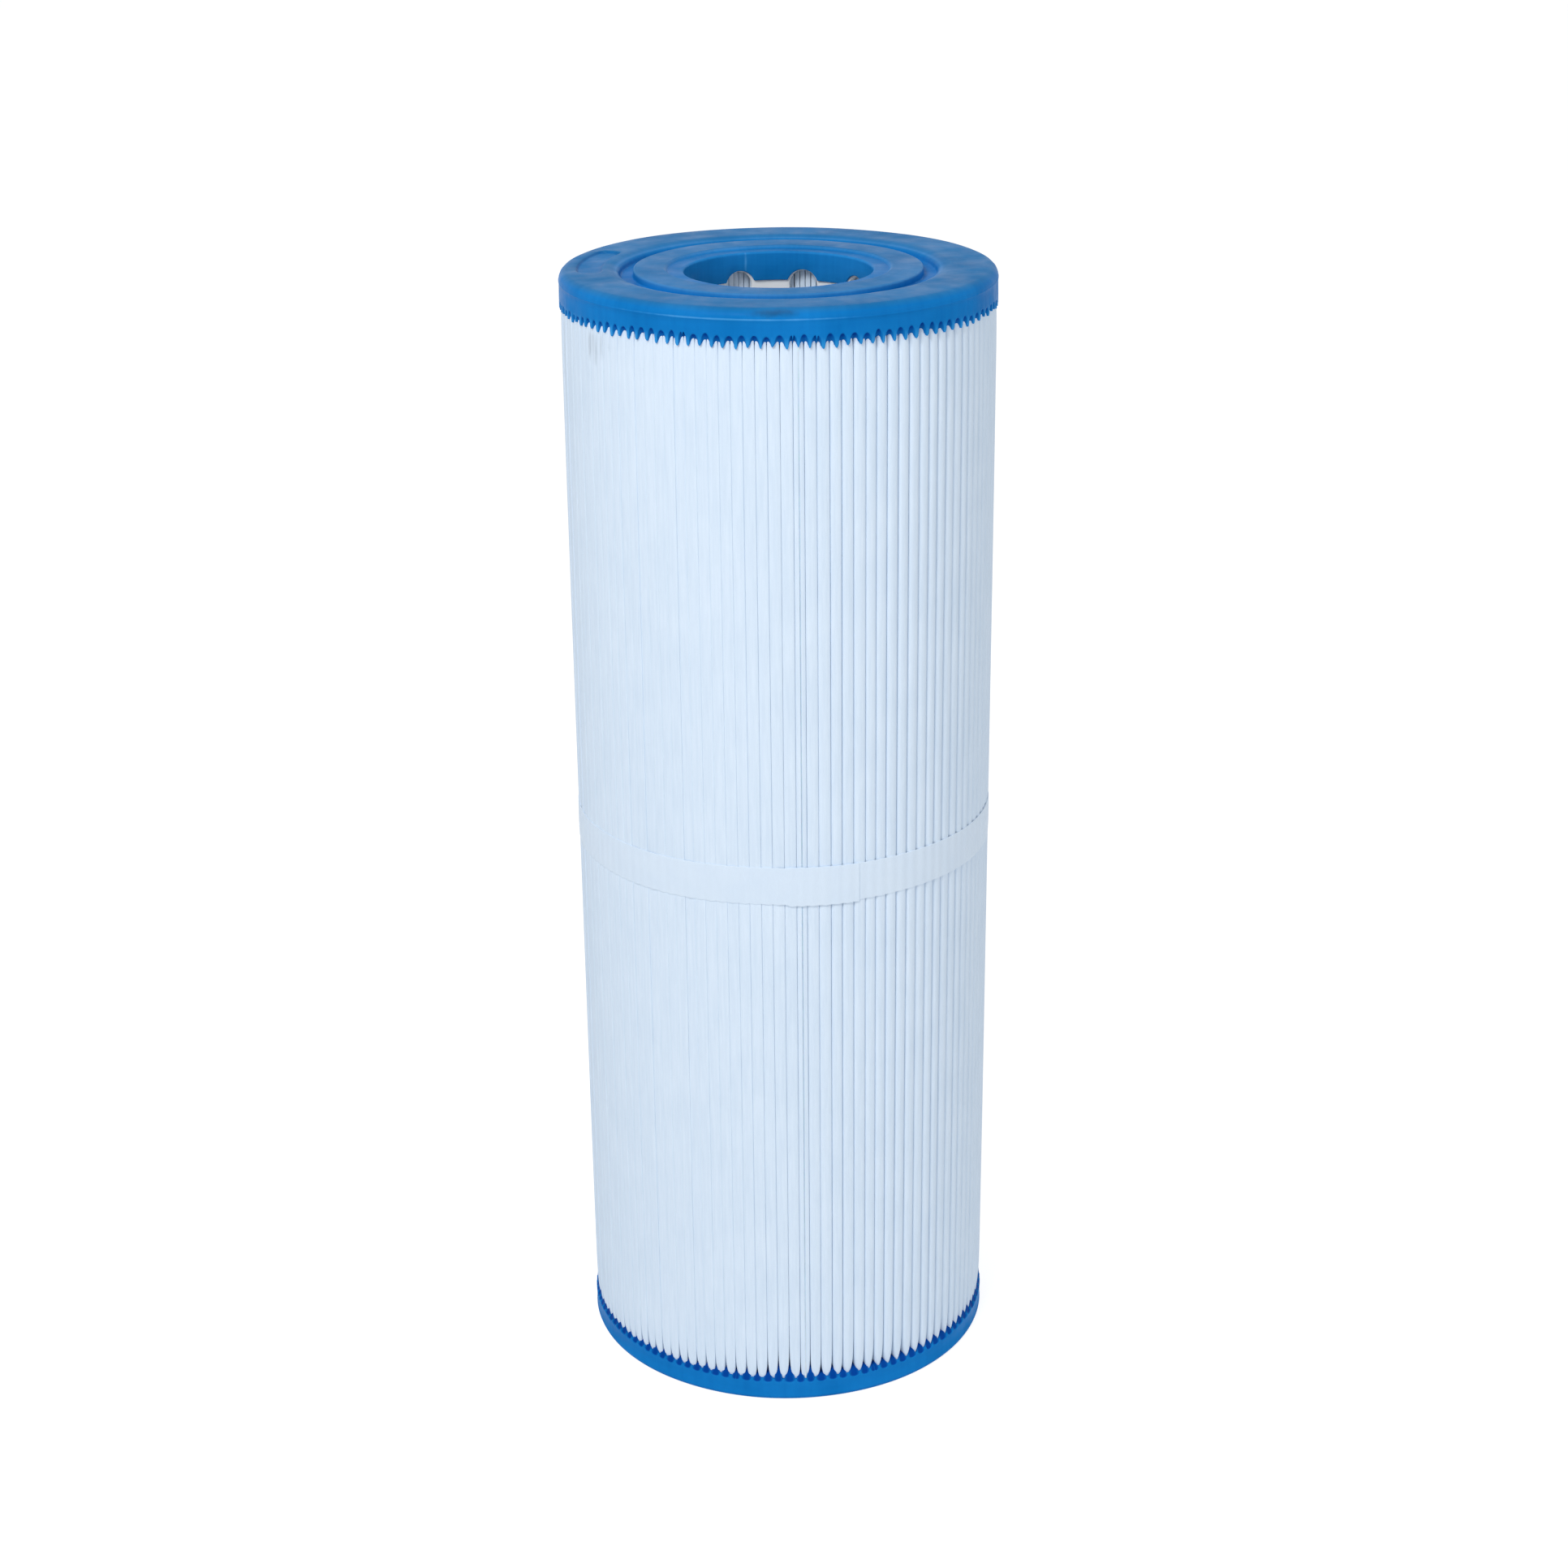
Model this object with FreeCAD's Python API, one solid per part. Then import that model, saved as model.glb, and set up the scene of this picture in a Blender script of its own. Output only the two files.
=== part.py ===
"""Pleated filter cartridge for a pool or spa filter: two cast end caps, a perforated core tube,
one pleated sheet of polyester with a glued side seam, and a glued strap round its middle.

Millimetres, +Z up. The cartridge stands on its lower end cap, with the origin on its axis at the
lower end. Pleats, seam and core look the same from either end when the cartridge is turned over
about the line through its seam, so the lower cap is made at the upper end and turned over.
"""

import math
import os

import FreeCAD
import Part

# Overall sizes
cartridge_length = 338.1
cap_diameter = 125.4
bore_diameter = 54.0

# End cap's face, from the bore outwards
lip_edge_radius = 0.8
lip_width = 5.0              # recessed lip round the bore
lip_drop = 1.2
lip_slope = 0.7
inner_land_drop = 0.3        # land inside the groove, below the land outside it
groove_width = 4.2
groove_depth = 2.6
groove_shoulder = 2.4        # soft round on the groove's outer side
groove_inset = 1.35          # groove's middle, inwards of the middle between lip and rim
upper_edge_radius = 3.3      # round between face and skirt
lower_edge_radius = 1.0

# End cap's depth
face_web = 2.0               # resin between a recess in the face and what is buried under it
pleat_burial = 2.0           # length of pleat held in the resin
collar_depth = 9.7           # how far the resin lines the inside of the core tube

# Resin tongues that hang from the upper skirt, one on each pleat
tongue_length = 4.2
tongue_root_gap = 0.2
tongue_shoulder = 1.5        # height of the arch between two tongues
tongue_half_width = 0.65
tongue_tip_half_width = 0.35
tongue_band = 2.2            # how far in from the skirt a tongue may wrap round its pleat

# Shallow blank recess in the upper cap's outer land
plate_depth = 0.4
plate_margin = 2.0           # land left on each side of the recess
plate_corner_radius = 2.4
plate_middle_angle = 173.0
plate_sweep_angle = 38.0

# Core tube
core_wall = 2.1
core_lining = 0.8            # resin between the bore and the tube
core_hole_diameter = 9.0
core_hole_clearance = 0.2    # set resin to the edge of the first holes
core_holes_per_ring = 9
core_hole_spacing = 14.5     # wanted distance between rings
core_hole_offset = 4         # the first ring has a hole this many steps from the seam

# Pleated media
pleat_count = 116
media_thickness = 0.5
media_core_gap = 0.3
crest_inset = 0.6            # from the skirt in to the pleat crests
crest_nose = 0.8             # height of a crest's round
crest_gap = 0.9              # between neighbouring crests
fold_gap = 0.2               # between neighbouring folds at the core
seam_angle = -85.3           # crest of the pleat that holds the side seam
seam_half_width = 0.25
seam_depth = 11.0

# Strap round the middle, and the hot-melt bead that holds it
strap_width = 11.5
strap_thickness = 0.25
strap_rise = 2.85            # strap's middle above the cartridge's middle
strap_lap_start = -90.0
strap_lap_angle = 20.0
bead_width = 6.0
bead_thickness = 0.1
bead_bite = 1.2              # how far the bead reaches down between the crests

cut_margin = 2.0             # how far cutting tools run past what they cut

cap_radius = cap_diameter / 2
bore_radius = bore_diameter / 2
lip_radius = bore_radius + lip_width
land_middle_radius = (lip_radius + lip_slope + cap_radius - upper_edge_radius) / 2 - groove_inset
groove_inner_radius = land_middle_radius - (groove_width + groove_shoulder) / 2
groove_outer_radius = groove_inner_radius + groove_width
land_radius = groove_outer_radius + groove_shoulder

core_inner_radius = bore_radius + core_lining
core_outer_radius = core_inner_radius + core_wall
core_end_depth = lip_drop + face_web
pleat_end_depth = groove_depth + face_web
pot_depth = pleat_end_depth + pleat_burial
core_hole_depth = pot_depth + core_hole_clearance + core_hole_diameter / 2

half_pitch = math.pi / pleat_count
first_pleat = math.radians(seam_angle)
crest_radius = cap_radius - crest_inset
valley_radius = core_outer_radius + media_core_gap
crest_half_width = (crest_radius - crest_nose) * math.tan(half_pitch) - crest_gap / 2
fold_half_width = valley_radius * math.tan(half_pitch) - fold_gap / 2

AXIS = FreeCAD.Vector(0, 0, 1)
CENTRE = FreeCAD.Vector(0, 0, 0)


def line(a, b):
    return Part.LineSegment(a, b).toShape()


def arc(a, middle, b):
    return Part.Arc(a, middle, b).toShape()


def round_corner(centre, radius, start, end):
    """Arc in the r-z plane about a centre (r, z), between two angles in degrees."""
    def at(degrees):
        a = math.radians(degrees)
        return FreeCAD.Vector(centre[0] + radius * math.cos(a), 0, centre[1] + radius * math.sin(a))
    return arc(at(start), at((start + end) / 2), at(end))


def lathe(edges):
    """Solid turned about the axis from closed edges in the r-z plane."""
    return Part.Face(Part.Wire(edges)).revolve(CENTRE, AXIS, 360)


def tube(outer, inner, bottom, top):
    """Plain tube about the axis."""
    base = FreeCAD.Vector(0, 0, bottom)
    wall = Part.makeCylinder(outer, top - bottom, base)
    return wall.cut(Part.makeCylinder(inner, top - bottom, base))


def turned_copies(shape, count, first_degrees):
    """The shape set round the axis, count times."""
    copies = []
    for i in range(count):
        copy = shape.copy()
        copy.rotate(CENTRE, AXIS, first_degrees + i * 360 / count)
        copies.append(copy)
    return copies


def turned_over(shape):
    """The shape turned end for end about the line through the seam, at the cartridge's middle."""
    copy = shape.copy()
    through_seam = FreeCAD.Vector(math.cos(first_pleat), math.sin(first_pleat), 0)
    copy.rotate(FreeCAD.Vector(0, 0, cartridge_length / 2), through_seam, 180)
    return copy


def upright(face, bottom, height):
    """A flat face in the XY plane, raised to bottom and drawn up into a solid."""
    solid = face.extrude(FreeCAD.Vector(0, 0, height))
    solid.translate(FreeCAD.Vector(0, 0, bottom))
    return solid


# ---- Pleats -------------------------------------------------------------------------------------

def pleat_point(angle, radial, across):
    """Point of the pleat whose crest is at an angle, by its own radial and across lengths."""
    return FreeCAD.Vector(
        radial * math.cos(angle) - across * math.sin(angle),
        radial * math.sin(angle) + across * math.cos(angle), 0)


def by_fold(radius, back):
    """(radial, across) of a point a little back from the fold's centre line beside a pleat."""
    return (radius * math.cos(half_pitch) + back * math.sin(half_pitch),
            radius * math.sin(half_pitch) - back * math.cos(half_pitch))


def on_crown(top, corner, across):
    """Radial place on the round from -corner over top to +corner, at an across length."""
    rise = top - corner[0]
    radius = (corner[1] ** 2 + rise ** 2) / (2 * rise)
    return top - radius + math.sqrt(radius ** 2 - across ** 2)


# Outside and inside corners of the sheet, as (radial, across) on a pleat's left flank
outer_corner = (crest_radius - crest_nose, crest_half_width)
inner_corner = (outer_corner[0] - media_thickness / 2, crest_half_width - media_thickness)
outer_foot = by_fold(valley_radius + media_thickness, fold_half_width - media_thickness)
inner_foot = by_fold(valley_radius + media_thickness / 2, fold_half_width)
inner_crest_radius = crest_radius - media_thickness


def crown(angle, top, corner, start, end):
    """Part of a crest's round between two across lengths."""
    def at(across):
        return pleat_point(angle, on_crown(top, corner, across), across)
    return arc(at(start), at((start + end) / 2), at(end))


def media_face():
    """Cross-section of the pleated sheet, one strip whose ends meet the seam's two sides."""
    edges = []
    for i in range(pleat_count):
        angle = first_pleat + 2 * half_pitch * i
        after = angle + 2 * half_pitch

        def here(point, side=1):
            return pleat_point(angle, point[0], side * point[1])

        def there(point):
            return pleat_point(after, point[0], -point[1])

        for top, corner in ((crest_radius, outer_corner), (inner_crest_radius, inner_corner)):
            if i == 0:
                edges.append(crown(angle, top, corner, -corner[1], -seam_half_width))
                edges.append(crown(angle, top, corner, seam_half_width, corner[1]))
            else:
                edges.append(crown(angle, top, corner, -corner[1], corner[1]))
        for corner, foot in ((outer_corner, outer_foot), (inner_corner, inner_foot)):
            edges.append(line(here(corner), here(foot)))
            edges.append(line(there(foot), there(corner)))
        edges.append(line(here(outer_foot), there(outer_foot)))
        fold = pleat_point(angle + half_pitch, valley_radius, 0)
        edges.append(arc(here(inner_foot), fold, there(inner_foot)))
    for across in (-seam_half_width, seam_half_width):
        outer = on_crown(crest_radius, outer_corner, across)
        inner = on_crown(inner_crest_radius, inner_corner, across)
        edges.append(line(pleat_point(first_pleat, outer, across), pleat_point(first_pleat, inner, across)))
    return Part.Face(Part.Wire(Part.__sortEdges__(edges)))


def seam_face():
    """Cross-section of the hot-melt that closes the sheet inside its first pleat."""
    share = seam_depth / (inner_corner[0] - inner_foot[0])
    deep = [inner_corner[k] + share * (inner_foot[k] - inner_corner[k]) for k in (0, 1)]

    def at(radial, across):
        return pleat_point(first_pleat, radial, across)

    edges = [
        crown(first_pleat, crest_radius, outer_corner, -seam_half_width, seam_half_width),
        line(at(deep[0], -deep[1]), at(deep[0], deep[1])),
    ]
    for side in (-1, 1):
        slot = side * seam_half_width
        outer = on_crown(crest_radius, outer_corner, slot)
        inner = on_crown(inner_crest_radius, inner_corner, slot)
        corner = side * inner_corner[1]
        edges.append(line(at(outer, slot), at(inner, slot)))
        edges.append(crown(first_pleat, inner_crest_radius, inner_corner, slot, corner))
        edges.append(line(at(inner_corner[0], corner), at(deep[0], side * deep[1])))
    return Part.Face(Part.Wire(Part.__sortEdges__(edges)))


def media_height():
    return cartridge_length - 2 * pleat_end_depth


# ---- Core tube ----------------------------------------------------------------------------------

def core_holes():
    """Cutters for the core's holes, ring by ring, every second ring turned by half a step."""
    span = cartridge_length - 2 * core_hole_depth
    pairs = round(span / core_hole_spacing / 2)
    gaps = 2 * pairs
    step = 360 / core_holes_per_ring
    start = bore_radius - cut_margin
    hole = Part.makeCylinder(
        core_hole_diameter / 2, core_outer_radius + cut_margin - start,
        FreeCAD.Vector(start, 0, 0), FreeCAD.Vector(1, 0, 0))
    cutters = []
    for ring in range(gaps + 1):
        turn = seam_angle + step * (core_hole_offset + (ring % 2) / 2)
        for copy in turned_copies(hole, core_holes_per_ring, turn):
            copy.translate(FreeCAD.Vector(0, 0, core_hole_depth + ring * span / gaps))
            cutters.append(copy)
    return cutters


def core_tube(holes):
    """Perforated tube, its ends buried in the caps."""
    blank = tube(core_outer_radius, core_inner_radius, core_end_depth, cartridge_length - core_end_depth)
    return blank.cut(Part.makeCompound(holes))


# ---- End caps -----------------------------------------------------------------------------------

def cap_plate(face, edge_radius):
    """The cap above the pleats' ends, with the collar that lines the core. Its face is at z = face."""
    inner_land = face - inner_land_drop
    lip = face - lip_drop
    groove_floor = face - groove_depth
    pleat_end = face - pleat_end_depth
    core_end = face - core_end_depth
    collar_end = face - collar_depth
    outline = [
        (core_outer_radius, pleat_end), (core_outer_radius, core_end), (core_inner_radius, core_end),
        (core_inner_radius, collar_end), (bore_radius, collar_end), (bore_radius, lip - lip_edge_radius),
        (bore_radius + lip_edge_radius, lip), (lip_radius, lip), (lip_radius + lip_slope, inner_land),
        (groove_inner_radius, inner_land), (groove_inner_radius, groove_floor),
        (groove_outer_radius, groove_floor), (groove_outer_radius, face - groove_shoulder),
        (land_radius, face), (cap_radius - edge_radius, face), (cap_radius, face - edge_radius),
        (cap_radius, pleat_end), (core_outer_radius, pleat_end),
    ]
    rounds = {
        5: round_corner((bore_radius + lip_edge_radius, lip - lip_edge_radius), lip_edge_radius, 180, 90),
        12: round_corner((land_radius, face - groove_shoulder), groove_shoulder, 180, 90),
        14: round_corner((cap_radius - edge_radius, face - edge_radius), edge_radius, 90, 0),
    }
    points = [FreeCAD.Vector(r, 0, z) for r, z in outline]
    edges = [rounds.get(i) or line(points[i], points[i + 1]) for i in range(len(points) - 1)]
    return lathe(edges)


def tongue(face):
    """One resin tongue at angle 0, wrapped over the crest of its pleat."""
    root = face - pot_depth
    waist = root - tongue_shoulder
    tip = root - tongue_length
    half_root = cap_radius * half_pitch - tongue_root_gap / 2
    start = cap_radius - tongue_band

    def at(y, z):
        return FreeCAD.Vector(start, y, z)

    edges = [
        line(at(-half_root, root), at(half_root, root)),
        arc(at(-tongue_tip_half_width, tip + tongue_tip_half_width), at(0, tip),
            at(tongue_tip_half_width, tip + tongue_tip_half_width)),
    ]
    bow_y = tongue_half_width + (half_root - tongue_half_width) * (1 - math.sqrt(0.5))
    bow_z = root - tongue_shoulder * (1 - math.sqrt(0.5))
    for side in (-1, 1):
        edges.append(arc(at(side * half_root, root), at(side * bow_y, bow_z),
                         at(side * tongue_half_width, waist)))
        edges.append(line(at(side * tongue_half_width, waist),
                          at(side * tongue_tip_half_width, tip + tongue_tip_half_width)))
    sheet = Part.Face(Part.Wire(Part.__sortEdges__(edges)))
    blank = sheet.extrude(FreeCAD.Vector(tongue_band + cut_margin, 0, 0))
    blank = blank.common(Part.makeCylinder(cap_radius, tongue_length, FreeCAD.Vector(0, 0, tip)))

    def foot(side):
        return pleat_point(0, outer_foot[0], side * outer_foot[1])

    def corner(side):
        return pleat_point(0, outer_corner[0], side * outer_corner[1])

    pleat = Part.Face(Part.Wire([
        crown(0, crest_radius, outer_corner, -crest_half_width, crest_half_width),
        line(corner(1), foot(1)), line(foot(1), foot(-1)), line(foot(-1), corner(-1))]))
    return blank.cut(upright(pleat, tip - cut_margin, tongue_length + 2 * cut_margin))


def plate_recess(face):
    """Cutter for the shallow blank recess, a sector of the outer land with rounded corners."""
    inner = land_radius + plate_margin
    outer = cap_radius - upper_edge_radius - plate_margin
    middle = math.radians(plate_middle_angle)
    half = math.radians(plate_sweep_angle / 2)
    ends = [pleat_point(middle + turn, radius, 0)
            for turn in (-half, half) for radius in (inner, outer)]
    sector = Part.Face(Part.Wire([
        line(ends[0], ends[1]), arc(ends[1], pleat_point(middle, outer, 0), ends[3]),
        line(ends[3], ends[2]), arc(ends[2], pleat_point(middle, inner, 0), ends[0])]))
    recess = upright(sector, face - plate_depth, plate_depth + cut_margin)
    corners = [e for e in recess.Edges if abs(e.Vertexes[0].Z - e.Vertexes[-1].Z) > plate_depth]
    return recess.makeFillet(min(plate_corner_radius, (outer - inner) / 3), corners)


def potted_cap(face, edge_radius, media, seam, holes):
    """A cap cast round the pleats, the seam and the core, without tongues."""
    pot = tube(cap_radius, core_outer_radius, face - pot_depth, face - pleat_end_depth)
    lining_holes = [h for h in holes if h.BoundBox.ZMax > face - collar_depth]
    plate = cap_plate(face, edge_radius).cut(lining_holes)
    return plate.fuse(pot.cut([media, seam]))


# ---- Strap --------------------------------------------------------------------------------------

def strap():
    """Strap round the pleats, with its end lapped over its start."""
    inner = crest_radius + bead_thickness
    outer = inner + strap_thickness
    low = cartridge_length / 2 + strap_rise - strap_width / 2
    base = FreeCAD.Vector(0, 0, low)
    hoop = tube(outer, inner, low, low + strap_width)
    lap = Part.makeCylinder(outer + strap_thickness, strap_width, base, AXIS, strap_lap_angle)
    lap = lap.cut(Part.makeCylinder(outer, strap_width, base, AXIS))
    lap.rotate(CENTRE, AXIS, strap_lap_start)
    return hoop.fuse(lap)


def strap_bead():
    """Hot-melt bead under the strap, pressed down between the crests."""
    share = (bead_bite - crest_nose) / (outer_corner[0] - outer_foot[0])
    deep = [outer_corner[k] + share * (outer_foot[k] - outer_corner[k]) for k in (0, 1)]
    edges = []
    for i in range(pleat_count):
        angle = first_pleat + 2 * half_pitch * i
        after = angle + 2 * half_pitch
        crest_end = pleat_point(angle, *outer_corner)
        tooth = [pleat_point(angle, *deep), pleat_point(after, deep[0], -deep[1])]
        next_crest = pleat_point(after, outer_corner[0], -outer_corner[1])
        edges.append(crown(angle, crest_radius, outer_corner, -crest_half_width, crest_half_width))
        edges.append(line(crest_end, tooth[0]))
        edges.append(line(tooth[0], tooth[1]))
        edges.append(line(tooth[1], next_crest))
    outside = Part.Wire(Part.makeCircle(crest_radius + bead_thickness))
    ring = Part.Face(outside).cut(Part.Face(Part.Wire(Part.__sortEdges__(edges))))
    return upright(ring, cartridge_length / 2 + strap_rise - bead_width / 2, bead_width)


def save(name, shape):
    solid = shape.Solids[0]
    if len(shape.Solids) != 1 or not solid.isValid():
        raise ValueError(name + " is not one valid solid")
    solid.exportStep(os.path.join("parts", name + ".step"))
    print(name, "faces", len(solid.Faces), "volume", round(solid.Volume, 1))


os.makedirs("parts", exist_ok=True)
pleated_media = upright(media_face(), pleat_end_depth, media_height())
media_seam = upright(seam_face(), pleat_end_depth, media_height())
hole_cutters = core_holes()

upper_cap = potted_cap(cartridge_length, upper_edge_radius, pleated_media, media_seam, hole_cutters)
upper_cap = upper_cap.cut(plate_recess(cartridge_length))
upper_cap = upper_cap.fuse(turned_copies(tongue(cartridge_length), pleat_count, seam_angle))
lower_cap = potted_cap(cartridge_length, lower_edge_radius, pleated_media, media_seam, hole_cutters)

save("top_end_cap", upper_cap)
save("bottom_end_cap", turned_over(lower_cap))
save("core_tube", core_tube(hole_cutters))
save("pleated_media", pleated_media)
save("media_seam", media_seam)
save("centre_strap", strap())
save("strap_bead", strap_bead())
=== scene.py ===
import math

import bmesh
import bpy
import numpy as np
from mathutils import Matrix, Vector


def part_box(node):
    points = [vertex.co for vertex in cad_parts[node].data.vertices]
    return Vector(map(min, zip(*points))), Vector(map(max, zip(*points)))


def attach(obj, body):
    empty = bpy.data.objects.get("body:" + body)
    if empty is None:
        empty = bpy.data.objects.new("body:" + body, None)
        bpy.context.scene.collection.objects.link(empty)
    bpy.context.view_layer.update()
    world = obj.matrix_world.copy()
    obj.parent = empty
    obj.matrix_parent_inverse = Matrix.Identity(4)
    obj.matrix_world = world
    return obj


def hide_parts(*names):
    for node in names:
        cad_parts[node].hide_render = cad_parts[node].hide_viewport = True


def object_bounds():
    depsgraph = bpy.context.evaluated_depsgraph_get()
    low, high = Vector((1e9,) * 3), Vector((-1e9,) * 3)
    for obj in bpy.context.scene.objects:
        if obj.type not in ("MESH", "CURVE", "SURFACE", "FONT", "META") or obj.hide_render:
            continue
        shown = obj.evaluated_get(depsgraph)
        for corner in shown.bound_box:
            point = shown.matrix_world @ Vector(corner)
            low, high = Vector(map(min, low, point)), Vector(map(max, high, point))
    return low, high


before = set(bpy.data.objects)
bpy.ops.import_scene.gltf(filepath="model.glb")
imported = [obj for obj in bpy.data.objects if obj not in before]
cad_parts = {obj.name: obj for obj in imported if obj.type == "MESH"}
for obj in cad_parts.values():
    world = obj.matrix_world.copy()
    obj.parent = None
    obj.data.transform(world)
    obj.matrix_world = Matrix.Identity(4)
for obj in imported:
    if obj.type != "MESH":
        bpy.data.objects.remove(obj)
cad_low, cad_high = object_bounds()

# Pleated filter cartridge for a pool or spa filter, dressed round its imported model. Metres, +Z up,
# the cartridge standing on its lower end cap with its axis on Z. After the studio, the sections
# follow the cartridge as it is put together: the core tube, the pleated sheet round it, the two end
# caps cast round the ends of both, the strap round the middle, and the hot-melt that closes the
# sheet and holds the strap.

# ---- Camera ---------------------------------------------------------------------------------------
# Looks down on the cartridge from the front with a long lens, turned a touch about its own line of
# sight.

scene = bpy.context.scene
length = cad_high.z - cad_low.z
camera_distance = 0.86965
camera_pitch = math.radians(21.71)
camera_roll = -0.0098                # radians

camera_data = bpy.data.cameras.new("camera")
camera_data.sensor_width = 36
camera_data.lens = 65.03
camera_data.shift_x = 0.0002
camera_data.shift_y = 0.0201
camera_data.clip_start = 0.01
camera = bpy.data.objects.new("camera", camera_data)
scene.collection.objects.link(camera)
scene.camera = camera

ahead = Vector((0, math.cos(camera_pitch), -math.sin(camera_pitch)))
level_up = Vector((0, math.sin(camera_pitch), math.cos(camera_pitch)))
level_right = Vector((1, 0, 0))
right = math.cos(camera_roll) * level_right + math.sin(camera_roll) * level_up
up = math.cos(camera_roll) * level_up - math.sin(camera_roll) * level_right
turn = Matrix((right, up, -ahead)).transposed().to_4x4()
middle_of_cartridge = Vector((0, 0, length / 2))
camera.matrix_world = Matrix.Translation(middle_of_cartridge - camera_distance * ahead) @ turn

# ---- Floor and light ------------------------------------------------------------------------------
# A plain white studio: a pale floor that keeps a faint shadow, one large soft lamp from the front
# left, a weaker one from the right and an even white surround.

scene.view_settings.view_transform = "Standard"


def link(tree, source, target):
    """Joins a node's output to another's input."""
    tree.links.new(source, target)


def new_material(name):
    """An empty node material and its output socket."""
    material = bpy.data.materials.new(name)
    material.use_nodes = True
    tree = material.node_tree
    tree.nodes.clear()
    output = tree.nodes.new("ShaderNodeOutputMaterial")
    return material, tree, output.inputs["Surface"]


def seen_directly(tree):
    """1 for camera, glossy and transmission rays, 0 for the light that falls on the object."""
    path = tree.nodes.new("ShaderNodeLightPath")
    first = tree.nodes.new("ShaderNodeMath")
    first.operation = "MAXIMUM"
    both = tree.nodes.new("ShaderNodeMath")
    both.operation = "MAXIMUM"
    link(tree, path.outputs["Is Camera Ray"], first.inputs[0])
    link(tree, path.outputs["Is Glossy Ray"], first.inputs[1])
    link(tree, first.outputs[0], both.inputs[0])
    link(tree, path.outputs["Is Transmission Ray"], both.inputs[1])
    return both.outputs[0]


def studio_floor():
    """Matt white for the light that falls on the cartridge. To the eye it is mostly plain white light,
    with a little real shading so that it keeps the shadow.
    """
    material, tree, surface = new_material("studio_floor")
    matt = tree.nodes.new("ShaderNodeBsdfDiffuse")
    matt.inputs["Color"].default_value = (0.86, 0.87, 0.88, 1)
    white = tree.nodes.new("ShaderNodeEmission")
    white.inputs["Strength"].default_value = 0.84
    shading = tree.nodes.new("ShaderNodeBsdfDiffuse")
    shading.inputs["Color"].default_value = (0.36, 0.36, 0.36, 1)
    bright = tree.nodes.new("ShaderNodeAddShader")
    mix = tree.nodes.new("ShaderNodeMixShader")
    link(tree, white.outputs[0], bright.inputs[0])
    link(tree, shading.outputs[0], bright.inputs[1])
    link(tree, seen_directly(tree), mix.inputs["Fac"])
    link(tree, matt.outputs[0], mix.inputs[1])
    link(tree, bright.outputs[0], mix.inputs[2])
    link(tree, mix.outputs[0], surface)
    return material


floor_half = 6.0
floor_corners = [(x * floor_half, y * floor_half, 0) for x, y in ((-1, -1), (1, -1), (1, 1), (-1, 1))]
floor_mesh = bpy.data.meshes.new("floor")
floor_mesh.from_pydata(floor_corners, [], [(0, 1, 2, 3)])
floor_mesh.materials.append(studio_floor())
floor = bpy.data.objects.new("floor", floor_mesh)
scene.collection.objects.link(floor)

world = bpy.data.worlds.new("studio")
world.use_nodes = True
scene.world = world
world_tree = world.node_tree
world_tree.nodes.clear()
surround = world_tree.nodes.new("ShaderNodeBackground")
surround.inputs["Color"].default_value = (0.96, 0.98, 1, 1)
surround.inputs["Strength"].default_value = 0.48
backdrop = world_tree.nodes.new("ShaderNodeBackground")
backdrop.inputs["Color"].default_value = (1, 1, 1, 1)
backdrop.inputs["Strength"].default_value = 1.0
either = world_tree.nodes.new("ShaderNodeMixShader")
world_output = world_tree.nodes.new("ShaderNodeOutputWorld")
link(world_tree, seen_directly(world_tree), either.inputs["Fac"])
link(world_tree, surround.outputs[0], either.inputs[1])
link(world_tree, backdrop.outputs[0], either.inputs[2])
link(world_tree, either.outputs[0], world_output.inputs["Surface"])


def soft_lamp(name, place, size, power):
    """Square area lamp at a place, facing the cartridge's middle."""
    data = bpy.data.lights.new(name, "AREA")
    data.size = size
    data.energy = power
    lamp = bpy.data.objects.new(name, data)
    scene.collection.objects.link(lamp)
    aim = middle_of_cartridge - Vector(place)
    lamp.matrix_world = Matrix.Translation(place) @ aim.to_track_quat("-Z", "Y").to_matrix().to_4x4()


soft_lamp("lamp_front_left", (-0.6, -1.05, 1.35), 0.6, 14)
soft_lamp("lamp_right", (1.25, -0.75, 0.5), 0.9, 3.8)

# ---- Core tube ------------------------------------------------------------------------------------
# Rigid tube in the middle that keeps the pleats from being crushed inwards. White moulded plastic
# with staggered rings of round holes; its ends are cast into the end caps.

mm = 0.001
core_low, core_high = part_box("core_tube")
core_outside = core_high.x
core_wall = 2.1 * mm
core_inside = core_outside - core_wall
hole_radius = 4.5 * mm
holes_per_ring = 9
hole_from_end = 11.3 * mm            # the outermost rings' middle, from each end of the cartridge
hole_spacing = 14.5 * mm             # wanted distance between rings
first_hole = math.radians(74.7)
edge_round = 0.35 * mm               # round of a hole's edge
points_per_side = 6                  # of the rectangle round each hole
crease_angle = math.radians(58)      # faces that turn by more than this meet in a crisp edge
merge_distance = 0.002 * mm


def grid_faces(rows, columns, close_columns=False, close_rows=False):
    """Quads of a grid of rows x columns points, numbered row by row."""
    r = np.arange(rows if close_rows else rows - 1)
    c = np.arange(columns if close_columns else columns - 1)
    r, c = (a.ravel() for a in np.meshgrid(r, c, indexing="ij"))
    r2, c2 = (r + 1) % rows, (c + 1) % columns
    corners = [r * columns + c, r * columns + c2, r2 * columns + c2, r2 * columns + c]
    return np.stack(corners, 1).tolist()


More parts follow.
